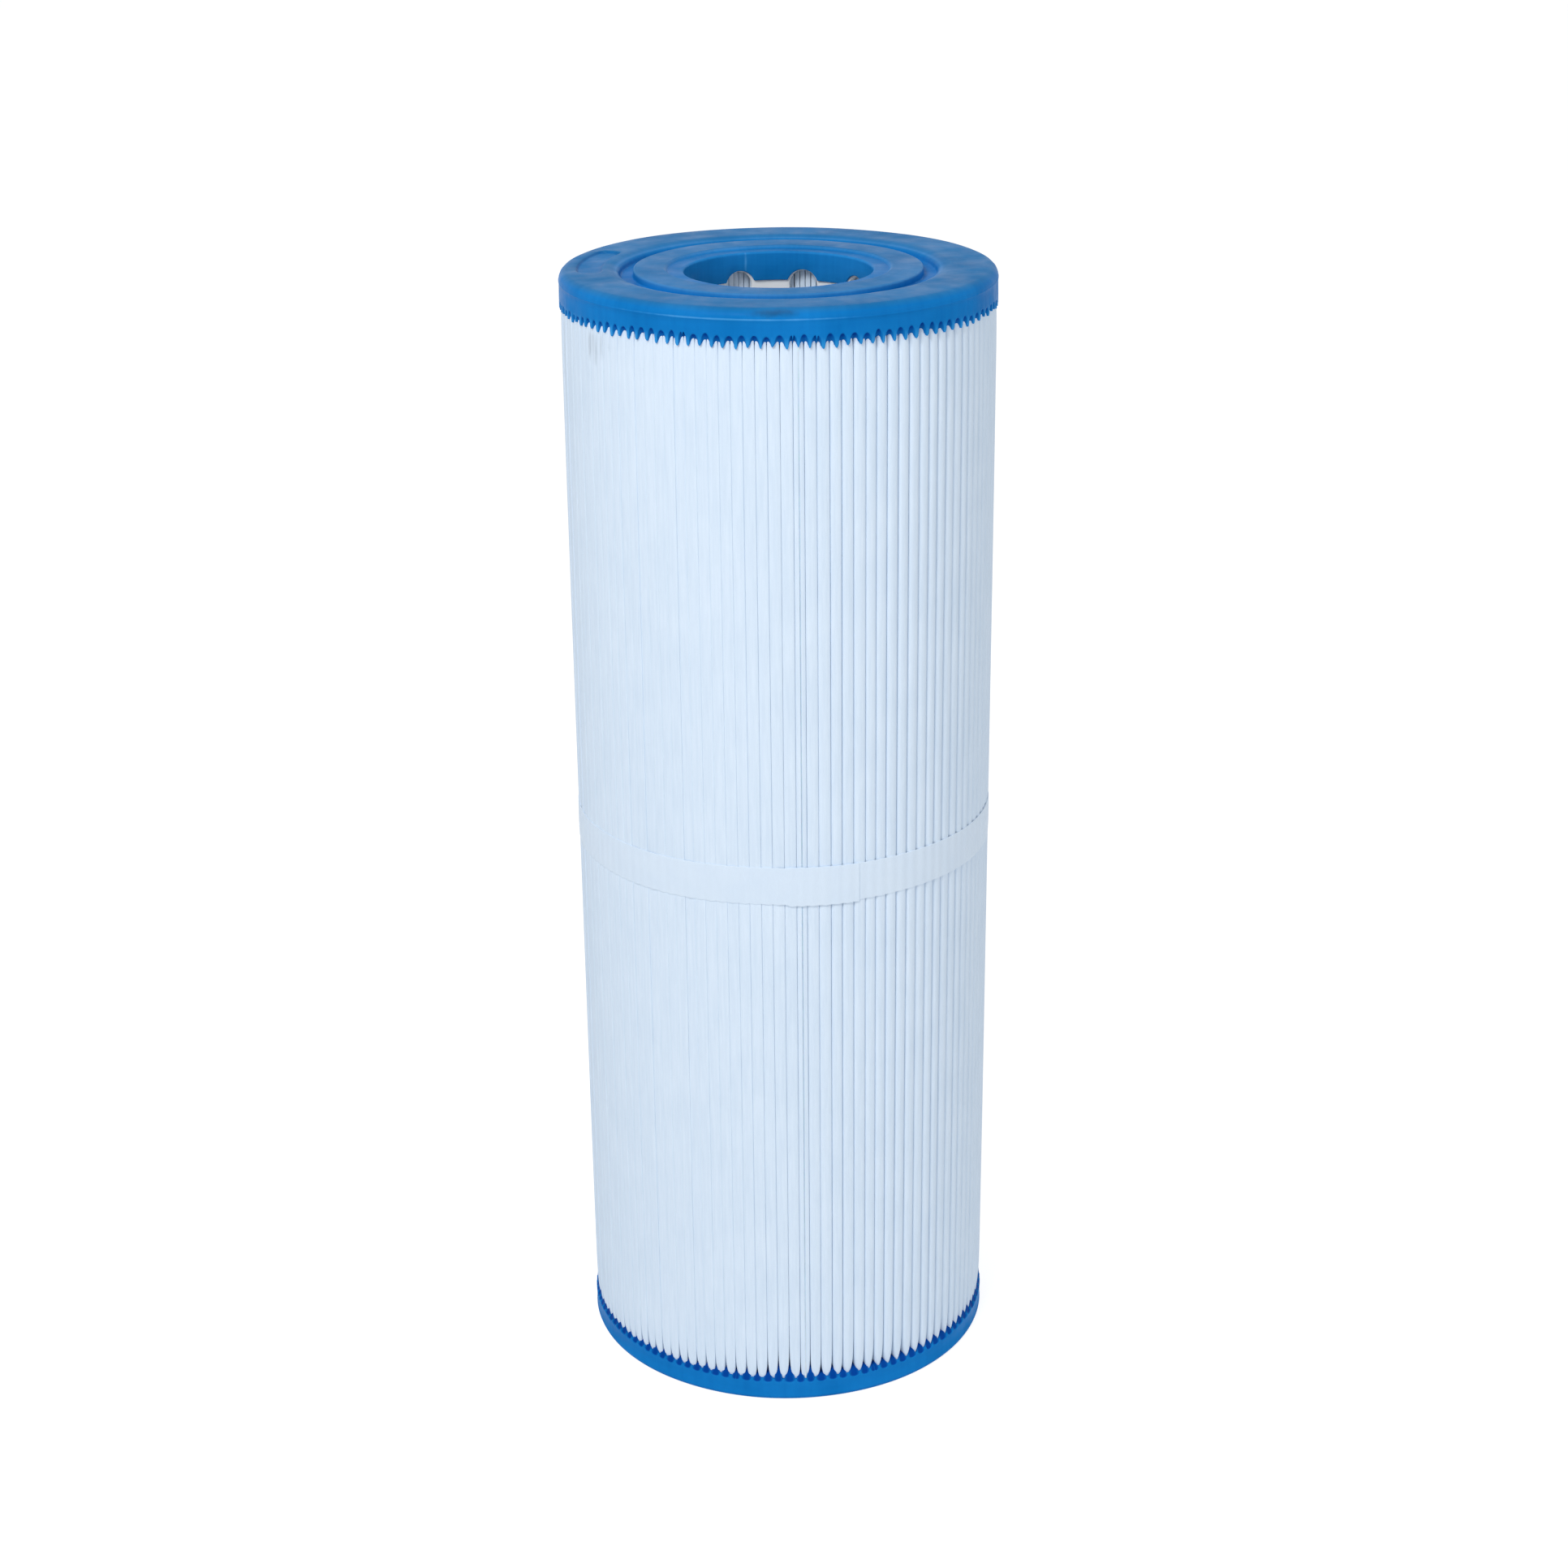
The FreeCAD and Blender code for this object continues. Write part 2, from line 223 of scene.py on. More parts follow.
def finished_piece(name, points, faces, material, slot, node, painted_shade_and_pale=None):
    """A smooth mesh piece with its normals outwards, which rides on the body and stands for a node.

    The last argument, a number for each point (painted shade above 0, paler below 0), becomes an
    attribute that the piece's material reads.
    """
    mesh = bpy.data.meshes.new(name)
    mesh.from_pydata(points.reshape(-1, 3).tolist(), [], faces)
    if painted_shade_and_pale is not None:
        mesh.attributes.new("painted_shade_and_pale", "FLOAT", "POINT").data.foreach_set("value", painted_shade_and_pale.ravel())
    form = bmesh.new()
    form.from_mesh(mesh)
    bmesh.ops.remove_doubles(form, verts=form.verts, dist=merge_distance)
    bmesh.ops.recalc_face_normals(form, faces=form.faces)
    form.to_mesh(mesh)
    form.free()
    mesh.polygons.foreach_set("use_smooth", np.ones(len(mesh.polygons), bool))
    mesh.set_sharp_from_angle(angle=crease_angle)
    mesh.materials.append(material)
    piece = bpy.data.objects.new(name, mesh)
    scene.collection.objects.link(piece)
    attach(piece, "root")
    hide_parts(node)


def add_node(tree, kind, settings=(), **inputs):
    """A shader node with its settings and unlinked inputs; underscores stand for spaces in names."""
    node = tree.nodes.new(kind)
    for key, value in dict(settings).items():
        setattr(node, key, value)
    for key, value in inputs.items():
        node.inputs[key.replace("_", " ")].default_value = value
    return node


def object_noise(tree, scale, stretch=(1, 1, 1), detail=3.0, roughness=0.5):
    """Noise on Object coordinates, in features per metre, stretched along the axes."""
    place = add_node(tree, "ShaderNodeTexCoord")
    mapping = add_node(tree, "ShaderNodeMapping")
    mapping.inputs["Scale"].default_value = stretch
    noise = add_node(tree, "ShaderNodeTexNoise", Scale=scale, Detail=detail, Roughness=roughness)
    link(tree, place.outputs["Object"], mapping.inputs["Vector"])
    link(tree, mapping.outputs["Vector"], noise.inputs["Vector"])
    return noise.outputs["Fac"]


def ramp(tree, value, low, high, low_colour, high_colour):
    """Colour that turns from low_colour to high_colour as value goes from low to high."""
    node = add_node(tree, "ShaderNodeValToRGB")
    node.color_ramp.elements[0].position = low
    node.color_ramp.elements[0].color = (*low_colour, 1)
    node.color_ramp.elements[1].position = high
    node.color_ramp.elements[1].color = (*high_colour, 1)
    link(tree, value, node.inputs["Fac"])
    return node.outputs["Color"]


def spread(tree, value, low, high):
    """A noise's usual range, 0.3 to 0.7, spread over low to high."""
    node = add_node(tree, "ShaderNodeMapRange", From_Min=0.3, From_Max=0.7, To_Min=low, To_Max=high)
    link(tree, value, node.inputs["Value"])
    return node.outputs["Result"]


def raised(tree, height, distance, strength, under=None):
    """Bump from a height, on top of another bump."""
    node = add_node(tree, "ShaderNodeBump", Strength=strength, Distance=distance)
    link(tree, height, node.inputs["Height"])
    if under is not None:
        link(tree, under, node.inputs["Normal"])
    return node.outputs["Normal"]


def white_moulding():
    """Moulded plastic: nearly plain white, a little uneven in gloss, with a fine pebble."""
    material, tree, surface = new_material("white_moulding")
    skin = add_node(tree, "ShaderNodeBsdfPrincipled", IOR=1.49)
    cloud = ramp(tree, object_noise(tree, 60), 0.35, 0.65, (0.88, 0.895, 0.91), (0.92, 0.93, 0.94))
    link(tree, cloud, skin.inputs["Base Color"])
    link(tree, spread(tree, object_noise(tree, 250), 0.38, 0.52), skin.inputs["Roughness"])
    link(tree, raised(tree, object_noise(tree, 1500), 0.05 * mm, 0.3), skin.inputs["Normal"])
    link(tree, skin.outputs["BSDF"], surface)
    return material


def core_cells():
    """Points of one cell of the wall, as (across, along, depth) from its hole's centre.

    Each column runs from a point on the cell's rectangle, over the outside, round the hole's edge,
    through the wall and back over the inside. The rectangle's points are evenly spaced, so that a
    ring turned by half a cell meets its neighbours point to point. Also the number of gaps between
    rings and half a cell's height.
    """
    span = length - 2 * hole_from_end
    gaps = 2 * round(span / hole_spacing / 2)
    half_wide = math.pi / holes_per_ring * core_outside
    half_high = span / gaps / 2
    side = np.linspace(-1, 1, points_per_side + 1)[:-1]
    edge = np.ones(points_per_side)
    square = np.concatenate([np.stack(s, 1) for s in (
        (side, -edge), (edge, side), (-side, edge), (-edge, -side))])
    rectangle = square * (half_wide, half_high)
    around = rectangle / np.linalg.norm(rectangle, axis=1)[:, None]
    rings = []
    for distance, depth in ((edge_round, 0), (edge_round * 0.3, edge_round * 0.3), (0, edge_round)):
        rings.append((around * (hole_radius + distance), depth))
    middle = 0.45 * rectangle + 0.55 * rings[0][0]
    outer = [(rectangle, 0), (middle, 0)] + rings
    inner = [(ring, core_wall - depth) for ring, depth in reversed(outer)]
    loops = [np.column_stack([ring, np.full(len(ring), depth)]) for ring, depth in outer + inner]
    return np.stack(loops), gaps, half_high


def core_tube():
    """The cell bent round the tube, angle = across / radius, and set ring by ring, every second
    ring turned by half a cell. A plain rim closes each end.
    """
    cell, gaps, half_high = core_cells()
    step = 2 * math.pi / holes_per_ring
    places = np.meshgrid(np.arange(gaps + 1), np.arange(holes_per_ring), indexing="ij")
    ring, place = (a.ravel() for a in places)
    turn = first_hole + step * (place + (ring % 2) / 2)
    height = hole_from_end + 2 * half_high * ring
    angle = cell[None, ..., 0] / core_outside + turn[:, None, None]
    radius = core_outside - cell[None, ..., 2] + 0 * angle
    z = cell[None, ..., 1] + height[:, None, None]
    points = np.stack([radius * np.cos(angle), radius * np.sin(angle), z], -1)
    rows, columns = cell.shape[:2]
    faces = np.array(grid_faces(rows, columns, close_columns=True))
    faces = (faces[None] + rows * columns * np.arange(len(turn))[:, None, None]).reshape(-1, 4)
    all_points, all_faces = [points.reshape(-1, 3)], faces.tolist()
    angle = first_hole + np.arange(points_per_side * holes_per_ring) / points_per_side * step - step / 2
    cells_end = hole_from_end - half_high
    for edge, tip in ((cells_end, core_low.z), (length - cells_end, core_high.z)):
        path = [(core_outside, edge), (core_outside, tip), (core_inside, tip), (core_inside, edge)]
        rim = np.stack([np.stack([r * np.cos(angle), r * np.sin(angle), z + 0 * angle], -1)
                        for r, z in path])
        offset = sum(len(p) for p in all_points)
        all_points.append(rim.reshape(-1, 3))
        rim_faces = np.array(grid_faces(len(path), len(angle), close_columns=True))
        all_faces += (rim_faces + offset).tolist()
    return np.concatenate(all_points), all_faces


finished_piece("core_tube_moulding", *core_tube(), white_moulding(), "core", "core_tube")

# ---- Pleated sheet --------------------------------------------------------------------------------
# Filter media: one long strip of spunbonded polyester folded into a ring of deep pleats. The pleats
# are pinched where they are cast into the caps and swell between them until they nearly touch.

pleats = 116
seam_azimuth = math.radians(-85.3)
sheet = 0.45 * mm                # its thickness
crest_radius = 62.45 * mm
fold_radius = 30.4 * mm
fold_gap = 0.25 * mm             # half the space between two flanks at the core
pot_level = 6.4 * mm             # set resin between the pleats, from each end of the cartridge
seam_slot = 0.16 * mm            # half the space between the sheet's two ends
crowding = 0.075                 # share by which the pitch is less on the left and more on the right
by_seam = [-3, -2, -1, 0, 1]     # the valleys nearest to the seam, which stand open
gaping = [-3, -2, 0]             # those of them that gape at the lower cap
strap_low, strap_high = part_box("centre_strap")
strap_middle = (strap_low.z + strap_high.z) / 2
strap_half = (strap_high.z - strap_low.z) / 2
chance = np.random.default_rng(41)


def smooth_step(t):
    """0 below 0, 1 above 1, 3t^2 - 2t^3 between."""
    t = np.clip(t, 0, 1)
    return t * t * (3 - 2 * t)


# Crests are closer together on the left (180 degrees) than on the right (0 degrees), each a little
# off its even place, and the two beside the seam are drawn in towards it
even = seam_azimuth + 2 * math.pi * np.arange(pleats + 1) / pleats
drift = crowding * (np.sin(even) - math.sin(seam_azimuth))
stray = np.radians(chance.normal(0, 0.14, pleats + 1).clip(-0.28, 0.28))
stray[[0, -1]] = 0
crests = even + drift + stray
crests[1] -= math.radians(0.35)
crests[-2] += math.radians(0.3)
valleys = (crests[1:] + crests[:-1]) / 2

# Two swollen pleats touch a little way under their crests. On the right they stand a hair apart, and
# more so beside the seam, where they are also pinched further up. rightness is 1 for the valleys on
# the right and 0 for those on the left
rightness = smooth_step(0.3 + 0.85 * np.cos(valleys + math.radians(8)))
open_gap = (0.002 + 0.02 * rightness) * mm * chance.uniform(0.3, 1.7, pleats)
open_gap[by_seam] = np.array([0.02, 0.035, 0.045, 0.06, 0.035]) * mm
mouth = (0.006 + 0.15 * rightness) * mm * chance.uniform(0.6, 1.4, pleats)     # gap at the crests
low_open = (0.58 + 0.12 * rightness) * chance.uniform(0.85, 1.12, pleats)      # gap at the resin, as
high_open = (0.38 + 0.1 * rightness) * chance.uniform(0.8, 1.15, pleats)       # a share of the pitch
low_open[gaping] = [0.82, 0.85, 0.78]
low_reach = 2.5 * mm * chance.uniform(0.8, 1.25, pleats)         # how far up from the resin it closes
high_reach = 1.6 * mm * chance.uniform(0.8, 1.25, pleats)
low_reach[gaping] = np.array([3.0, 2.8, 2.6]) * mm
nose_depth = (0.17 + 0.75 * rightness) * mm                      # how far a crest's round drops
crest_rise = chance.normal(0, 0.07, pleats + 1).clip(-0.15, 0.1) * mm
crest_rise[-1] = crest_rise[0]
sway = chance.normal(0, 0.0011, pleats + 1)                      # radians
sway_phase = chance.uniform(0, 2 * math.pi, pleats + 1)
sway[[0, -1]] = 0


def pinch(z, low_reach, high_reach, low_size=1, high_size=1):
    """A size at the resin at either end, falling off as exp(-distance / reach)."""
    low = np.clip(z - pot_level, 0, None)
    high = np.clip(length - pot_level - z, 0, None)
    return low_size * np.exp(-low / low_reach) + high_size * np.exp(-high / high_reach)


def crest_place(i, z):
    """Azimuth of crest i at height z: crest + sway sin(z / wave + phase), with a wave of 70 to 110 mm."""
    wave = 0.09 + 0.02 * np.cos(sway_phase[i])
    return crests[i] + sway[i] * np.sin(z / wave + sway_phase[i])


def media_height_rows():
    """Heights of the rows: close together at the caps and the strap's edges, far apart between."""
    near = np.array([-1.0, 0.0, 0.7, 1.5, 2.5, 3.8, 5.5, 8.0, 12.0, 19.0]) * mm
    low = pot_level + near
    high = length - pot_level - near[::-1]
    beside = strap_half + np.array([0.3, 2.0, 7.0]) * mm
    by_strap = np.concatenate([strap_middle - beside[::-1], [strap_middle], strap_middle + beside])
    below = np.linspace(low[-1], strap_middle - beside[-1], 4)[1:-1]
    above = np.linspace(strap_middle + beside[-1], high[0], 4)[1:-1]
    return np.concatenate([low, below, by_strap, above, high])


def pleated_sheet():
    """Cross-section of the sheet, swept up the rows.

    Between two crests the outside runs over half a crest, down a flank, round the fold at the core
    and back up. A crest is a rounded box: for q from -1 to 1 across it, it drops by
    nose (1 - (1 - |0.99 q|^m)^(1/m)), m its boxiness. Flanks stand half a gap to each side of the
    valley's middle: the gap's mouth narrows to where the pleats touch, and near the resin pinch()
    opens it wide. At the resin and under the strap the crests are drawn in. The inside is the same
    path a sheet's thickness within. The sheet is open at crest 0, where its two ends meet the seam.
    """
    z = media_height_rows()[:, None]
    left, right = np.arange(pleats), np.arange(1, pleats + 1)
    at_left, at_right = crest_place(left, z), crest_place(right, z)
    middle = (at_left + at_right) / 2
    pitch = at_right - at_left
    squeeze = np.minimum(pinch(z, low_reach, high_reach), 1)
    wide_open = pinch(z, low_reach, high_reach, low_open, high_open)
    lingering = pinch(z, 15 * mm, 10 * mm, 0.06 * rightness, 0.02 * rightness)
    apart = pitch * crest_radius * (wide_open + lingering)
    gap = (mouth * (1 - squeeze) + apart) / 2
    touch = (open_gap * (1 - squeeze) + apart) / 2

    # Crests are drawn in by 1 mm at the resin, most of it over a few millimetres and the rest over
    # a few centimetres, and by 0.22 mm under the strap
    under_strap = smooth_step(1.4 - np.abs(z - strap_middle) / (strap_half + 1.2 * mm) * 1.2)
    drawn_in = 0.75 * pinch(z, 2.5 * mm, 3 * mm) + 0.25 * pinch(z, 25 * mm, 25 * mm)
    top = crest_radius - (drawn_in + 0.22 * under_strap) * mm
    boxiness = 3.2 - 1.0 * rightness - 0.5 * squeeze

    def crest_half(q, side, inward):
        """Points over half a crest. side is +1 to the right of a left crest, -1 the other way."""
        centre = at_left if side > 0 else at_right
        rise = crest_rise[left if side > 0 else right]
        corner = middle - side * (gap + inward) / crest_radius
        nose = nose_depth + 0.7 * mm * squeeze - inward * 0.4
        drop = nose * (1 - (1 - (0.99 * q) ** boxiness) ** (1 / boxiness))
        return top + rise - inward - drop, centre + q * (corner - centre)

    def flank(radius, half, inward, side):
        """Point on a flank at a radius, half a gap to one side of the valley's middle."""
        return radius + 0 * middle, middle - side * (half + inward) / radius

    def path(inward, spots, floor):
        """From one crest's middle over the fold, whose floor is at a radius, to the next crest's."""
        under = top - nose_depth - 0.3 * mm
        fold = floor + 0.3 * mm
        line = [crest_half(q, 1, inward) for q in spots]
        line += [flank(under, touch, inward, 1), flank(fold, fold_gap, inward, 1)]
        line += [(floor + 0 * middle, middle)]
        line += [flank(fold, fold_gap, inward, -1), flank(under, touch, inward, -1)]
        line += [crest_half(q, -1, inward) for q in spots[::-1][:-1]]
        return line

    def surface(inward, spots, floor):
        """The paths of all the pleats in a row, closed at the last crest and parted at the seam."""
        radius, angle = (np.stack(part, -1) for part in zip(*path(inward, spots, floor)))
        rows = len(z)
        radius, angle = radius.reshape(rows, -1), angle.reshape(rows, -1)
        slot = seam_slot / crest_radius
        radius = np.concatenate([radius, radius[:, :1]], 1)
        angle = np.concatenate([angle, angle[:, :1] + 2 * math.pi], 1)
        angle[:, 0] += slot
        angle[:, -1] -= slot
        return radius, angle

    outside = surface(0, np.array([0, 0.35, 0.62, 0.82, 0.93, 0.985, 1]), fold_radius + sheet)
    inside = surface(sheet, np.array([0, 0.7, 1]), fold_radius)
    radius = np.concatenate([outside[0], inside[0][:, ::-1]], 1)
    angle = np.concatenate([outside[1], inside[1][:, ::-1]], 1)
    points = np.stack([radius * np.cos(angle), radius * np.sin(angle), z + 0 * angle], -1)
    rows, columns = radius.shape
    return points, grid_faces(rows, columns, close_columns=True)


def round_axis(tree):
    """Coordinates that follow the round: (distance along the rim, radius, height)."""
    place = add_node(tree, "ShaderNodeTexCoord")
    parts = add_node(tree, "ShaderNodeSeparateXYZ")
    link(tree, place.outputs["Object"], parts.inputs[0])
    turned = add_node(tree, "ShaderNodeMath", {"operation": "MULTIPLY"})
    turned.inputs[1].default_value = -1
    link(tree, parts.outputs["Y"], turned.inputs[0])
    azimuth = add_node(tree, "ShaderNodeMath", {"operation": "ARCTAN2"})
    link(tree, parts.outputs["X"], azimuth.inputs[0])
    link(tree, turned.outputs[0], azimuth.inputs[1])
    along = add_node(tree, "ShaderNodeMath", {"operation": "MULTIPLY"})
    along.inputs[1].default_value = cad_high.x
    link(tree, azimuth.outputs[0], along.inputs[0])
    flat = add_node(tree, "ShaderNodeVectorMath", {"operation": "MULTIPLY"})
    flat.inputs[1].default_value = (1, 1, 0)
    link(tree, place.outputs["Object"], flat.inputs[0])
    radius = add_node(tree, "ShaderNodeVectorMath", {"operation": "LENGTH"})
    link(tree, flat.outputs["Vector"], radius.inputs[0])
    joined = add_node(tree, "ShaderNodeCombineXYZ")
    link(tree, along.outputs[0], joined.inputs["X"])
    link(tree, radius.outputs["Value"], joined.inputs["Y"])
    link(tree, parts.outputs["Z"], joined.inputs["Z"])
    return joined.outputs[0]


def round_noise(tree, scale, stretch, detail=3.0, roughness=0.5):
    """Noise on the coordinates of round_axis()."""
    mapping = add_node(tree, "ShaderNodeMapping")
    mapping.inputs["Scale"].default_value = stretch
    link(tree, round_axis(tree), mapping.inputs["Vector"])
    noise = add_node(tree, "ShaderNodeTexNoise", Scale=scale, Detail=detail, Roughness=roughness)
    link(tree, mapping.outputs["Vector"], noise.inputs["Vector"])
    return noise.outputs["Fac"]


def blot(tree, centre, size):
    """1 in the middle of a soft blot, fading unevenly to 0 at its size, in the coordinates of
    round_axis().
    """
    mapping = add_node(tree, "ShaderNodeMapping")
    mapping.inputs["Location"].default_value = [-c / s for c, s in zip(centre, size)]
    mapping.inputs["Scale"].default_value = [1 / s for s in size]
    link(tree, round_axis(tree), mapping.inputs["Vector"])
    distance = add_node(tree, "ShaderNodeVectorMath", {"operation": "LENGTH"})
    link(tree, mapping.outputs["Vector"], distance.inputs[0])
    uneven = add_node(tree, "ShaderNodeMath", {"operation": "MULTIPLY_ADD"})
    uneven.inputs[1].default_value = 0.9
    uneven.inputs[2].default_value = -0.45
    link(tree, round_noise(tree, 300, (1, 1, 1)), uneven.inputs[0])
    total = add_node(tree, "ShaderNodeMath", {"operation": "ADD"})
    link(tree, distance.outputs["Value"], total.inputs[0])
    link(tree, uneven.outputs[0], total.inputs[1])
    fade = add_node(tree, "ShaderNodeMapRange", {"interpolation_type": "SMOOTHSTEP"}, From_Min=1.0,
                    From_Max=0.1, To_Min=0.0, To_Max=1.0)
    link(tree, total.outputs[0], fade.inputs["Value"])
    return fade.outputs["Result"]


def tinted(tree, colour, factor_colour):
    """One colour multiplied by another."""
    node = add_node(tree, "ShaderNodeMix", {"data_type": "RGBA", "blend_type": "MULTIPLY"}, Factor=1.0)
    link(tree, colour, node.inputs["A"])
    link(tree, factor_colour, node.inputs["B"])
    return node.outputs["Result"]


def spunbonded_polyester():
    """Matt bluish white felted fibres: fine strands that run mostly along the pleats, faint clouds and,
    high on the left, two grey patches broken into streaks.
    """
    material, tree, surface = new_material("spunbonded_polyester")
    skin = add_node(tree, "ShaderNodeBsdfPrincipled", Roughness=0.9, IOR=1.45)
    skin.inputs["Specular IOR Level"].default_value = 0.15
    cloud = object_noise(tree, 70, detail=4)
    strand = object_noise(tree, 1100, (1, 1, 0.06), detail=4, roughness=0.6)
    fibre = object_noise(tree, 1500, (1, 1, 0.3), detail=4, roughness=0.65)
    colour = ramp(tree, cloud, 0.3, 0.7, (0.715, 0.825, 0.95), (0.745, 0.85, 0.97))
    colour = tinted(tree, colour, ramp(tree, strand, 0.34, 0.66, (0.93, 0.945, 0.96), (1, 1, 1)))
    # Two grey patches high on the left, each broken into streaks
    for along, depth, wide, high, shade in ((-84, 27, 6, 13, 0.8), (-60, 15, 11, 6, 0.78)):
        place = (along * mm, crest_radius, length - depth * mm)
        grey_patch = blot(tree, place, (wide * mm, 20 * mm, high * mm))
        streaks = spread(tree, round_noise(tree, 600, (1, 1, 0.04), 2), -1.2, 1.4)
        broken = add_node(tree, "ShaderNodeMath", {"operation": "MULTIPLY"})
        link(tree, grey_patch, broken.inputs[0])
        link(tree, streaks, broken.inputs[1])
        grey = ramp(tree, broken.outputs[0], 0.0, 1.0, (1, 1, 1), (shade, shade, shade))
        colour = tinted(tree, colour, grey)
    link(tree, colour, skin.inputs["Base Color"])
    strands = raised(tree, strand, 0.12 * mm, 0.35)
    link(tree, raised(tree, fibre, 0.08 * mm, 0.4, strands), skin.inputs["Normal"])
    link(tree, skin.outputs["BSDF"], surface)
    return material


finished_piece("pleated_sheet", *pleated_sheet(), spunbonded_polyester(), "media", "pleated_media")

# ---- End caps -------------------------------------------------------------------------------------
# Cast blue polyurethane, poured round the ends of the pleats and the core in an open mould. While it
# was liquid it crept along the pleats: it hangs in a tongue from each crest with an arch between,
# and fills the gaps between pleats higher the narrower they are.

cap_outside = cad_high.x
bore_radius = 27.0 * mm
collar_depth = 9.7 * mm          # how far the lining reaches down inside the core
skirt_top = 5.2 * mm             # depth where the skirt's fine rows begin
hole_clearance = 0.25 * mm       # from the core's first holes to the lining's arches over them
highlighted_rims = (27.3, 32.1, 41.2, 46.4)       # radii of the face's rims painted lighter as highlights, in millimetres
painted_bore_light = 0.12                  # painted light: how much lighter the bore is painted; the next value is a rim's painted highlight at most
rim_highlight = 0.4

recess_radius = 53.9 * mm        # of the blank recess in the upper land, its middle
recess_azimuth = math.radians(172)
recess_half_length = 13.5 * mm   # to the middle of its round ends
recess_half_width = 3.45 * mm
recess_depth = 0.6 * mm

# Columns of a pleat, in pitches from its crest, close together where an arch's flank may stand
arch_half = 0.39                 # half an arch's width there, before each arch gets its own
from_crest = np.array([0, 0.03, 0.06, 0.085, 0.11, 0.14, 0.18, 0.24, 0.32, 0.41, 0.5])
fine_phases = np.concatenate([from_crest, 1 - from_crest[-2:0:-1]])
coarse_columns = [0, 4, 7, 10, 13, 16]       # of the fine ones, those that the plain parts keep


def rounded_profile(corners, steps=6):
    """Path through corners (radius, depth, round) in millimetres; the path is in metres.

    A corner with a round is cut by an arc tangent to both its sides. Where the sides turn by an
    angle a, the arc starts at round * tan(a / 2) from the corner.
    """
    points = []
    for i, (r, d, size) in enumerate(corners):
        here = np.array((r, d))
        if size == 0 or i in (0, len(corners) - 1):
            points.append(here)
            continue
        before, after = np.array(corners[i - 1][:2]) - here, np.array(corners[i + 1][:2]) - here
        before, after = before / np.linalg.norm(before), after / np.linalg.norm(after)
        half = math.acos(np.clip(before @ after, -1, 1)) / 2
        middle = (before + after) / np.linalg.norm(before + after)
        centre = here + middle * size / math.sin(half)
        start, end = here + before * size / math.tan(half), here + after * size / math.tan(half)
        for t in np.linspace(0, 1, steps):
            chord = start + t * (end - start) - centre
            points.append(centre + chord * size / np.linalg.norm(chord))
    return np.array(points) * mm


def cap_face(edge):
    """Half-section of the face from the bore to the skirt, as (radius, depth below the face).

    edge is the round between face and skirt. A faint mould line stands out below it.
    """
    bore_and_lip = [(27.0, 4.0, 0), (27.0, 1.2, 0.8), (31.6, 1.2, 0.5), (32.4, 0.3, 1.0)]
    groove = [(41.4, 0.3, 0.6), (41.4, 2.7, 0.6), (45.0, 2.7, 0.8), (45.6, 1.0, 1.6), (48.4, 0.0, 7.0)]
    recess_rows = np.array([-3.8, -3.4, -3.0, -1.4, 0, 1.4, 2.8, 3.15, 3.45, 3.8]) + recess_radius / mm
    outer_land = [(r, 0, 0) for r in recess_rows]
    mould_line = [(62.6, edge + 0.02, 0), (62.7, edge + 0.15, 0.1), (62.7, edge + 0.5, 0.1),
                  (62.6, edge + 0.65, 0)]
    skirt = [(62.6, 0, edge)] + mould_line + [(62.62, 4.6, 0)]
    return rounded_profile(bore_and_lip + groove + outer_land + skirt)


def skirt_columns(z, half_before, half_after):
    """The fine columns: azimuth, distance from the valley's middle and half width of the arch, both
    in pitches, the valley's number, and whether the column is past its middle.

    Columns keep to the arch's flanks: distances up to arch_half are scaled to the arch's own half
    width on each side, and those past it to what is left.
    """
    start, end = crest_place(np.arange(pleats), z), crest_place(np.arange(1, pleats + 1), z)
    away = np.abs(fine_phases - 0.5)
    half = np.where(fine_phases < 0.5, half_before[:, None], half_after[:, None])
    scaled = np.where(away <= arch_half, away * half / arch_half,
                      0.5 - (0.5 - away) * (0.5 - half) / (0.5 - arch_half))
    phase = 0.5 + scaled * np.sign(fine_phases - 0.5)
    angle = start[:, None] + phase * (end - start)[:, None]
    valley = np.repeat(np.arange(pleats), len(fine_phases))
    return angle.ravel(), scaled.ravel(), half.ravel(), valley, phase.ravel() > 0.5


def blank_recess(radius, angle):
    """Depth of the recess in the outer land, and 1 in the narrow band along its edge that is painted
    darker as shade. The recess is a pill bent round the axis: a point is inside by the half width less
    its distance from the pill's middle line, and the depth eases in over 0.4 mm across that edge.
    """
    along = (angle - recess_azimuth + math.pi) % (2 * math.pi) - math.pi
    over = np.clip(np.abs(along * recess_radius) - recess_half_length, 0, None)
    away = np.hypot(over, radius - recess_radius)
    inwards = (recess_half_width - away) / mm
    return recess_depth * smooth_step(inwards / 0.4 + 0.5), np.exp(-((inwards - 0.1) / 0.3) ** 2)


def joining_faces(coarse_start, fine_start, fine_first):
    """Polygons between a row of coarse columns and a row of fine ones, one for each coarse cell.

    The rows are given by the number of their first point; fine_first if the fine row comes first.
    """
    per, kept = len(fine_phases), len(coarse_columns)
    faces = []
    for i, (first, last) in enumerate(zip(coarse_columns, coarse_columns[1:] + [per])):
        pleat = np.arange(pleats)[:, None]
        fine = fine_start + (pleat * per + np.arange(first, last + 1)) % (pleats * per)
        coarse = coarse_start + (pleat * kept + np.array([i + 1, i])) % (pleats * kept)
        faces += np.hstack([fine, coarse])[:, ::-1 if fine_first else 1].tolist()
    return faces


